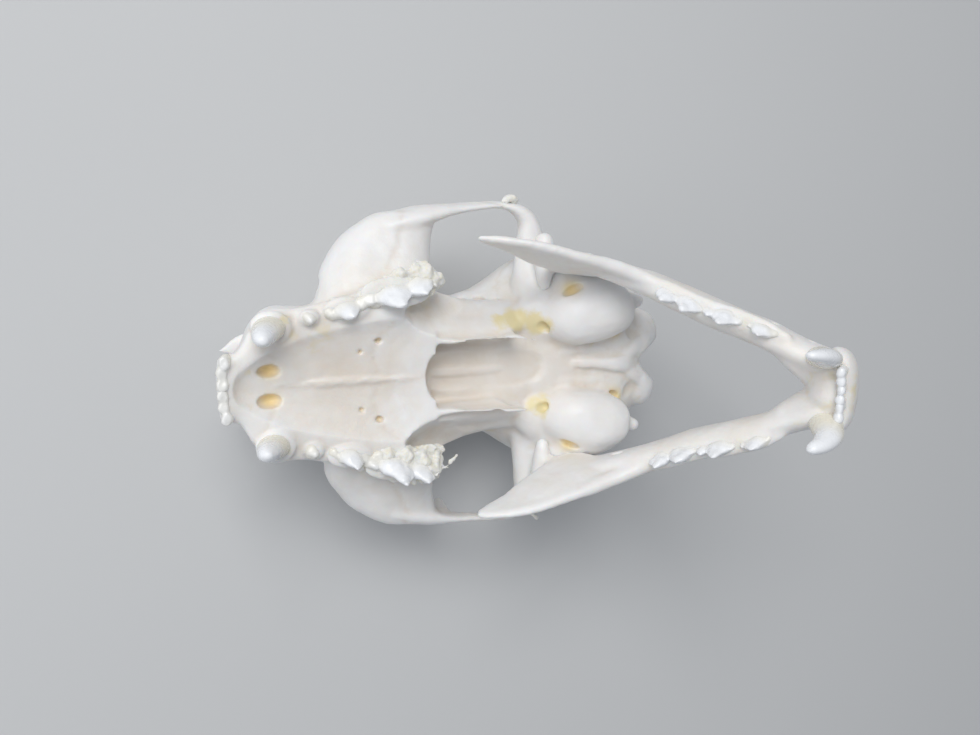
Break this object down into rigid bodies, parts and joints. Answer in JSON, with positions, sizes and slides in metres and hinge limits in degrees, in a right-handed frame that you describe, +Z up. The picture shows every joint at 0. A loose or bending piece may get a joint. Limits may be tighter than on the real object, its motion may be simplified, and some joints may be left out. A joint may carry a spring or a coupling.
{
  "type": "cat skull with open lower jaw",
  "caption": "Skull of an adult domestic cat lying upside down, its lower jaw swung open and standing up behind the ear capsules.",
  "frame": {"origin": "centre of the lowest plane of the part's box, at the level of the flats that the skull lies on", "axes": "+X points from the muzzle towards the back of the head and the open jaw's front end, +Y to the animal's left, +Z up, away from the surface that the skull lies on"},
  "size_m": [0.1, 0.0626, 0.0788],
  "materials": {
    "skull_bone": "dry cream-white bone, slightly glossy, with faint yellow and pink-beige staining on the palate",
    "ear_capsule_bone": "thin smooth bone, a little more yellow and glossier than the rest",
    "jaw_bone": "dry cream-white bone, slightly glossy",
    "enamel": "glossy bluish-white enamel that yellows towards the gum line"
  },
  "bodies": {
    "root": {"face_and_palate": "skull_bone", "braincase": "skull_bone", "zygomatic_arch_left": "skull_bone", "zygomatic_arch_right": "skull_bone", "auditory_bulla_left": "ear_capsule_bone", "auditory_bulla_right": "ear_capsule_bone", "mandible_left": "jaw_bone", "mandible_right": "jaw_bone"}
  },
  "joints": []
}
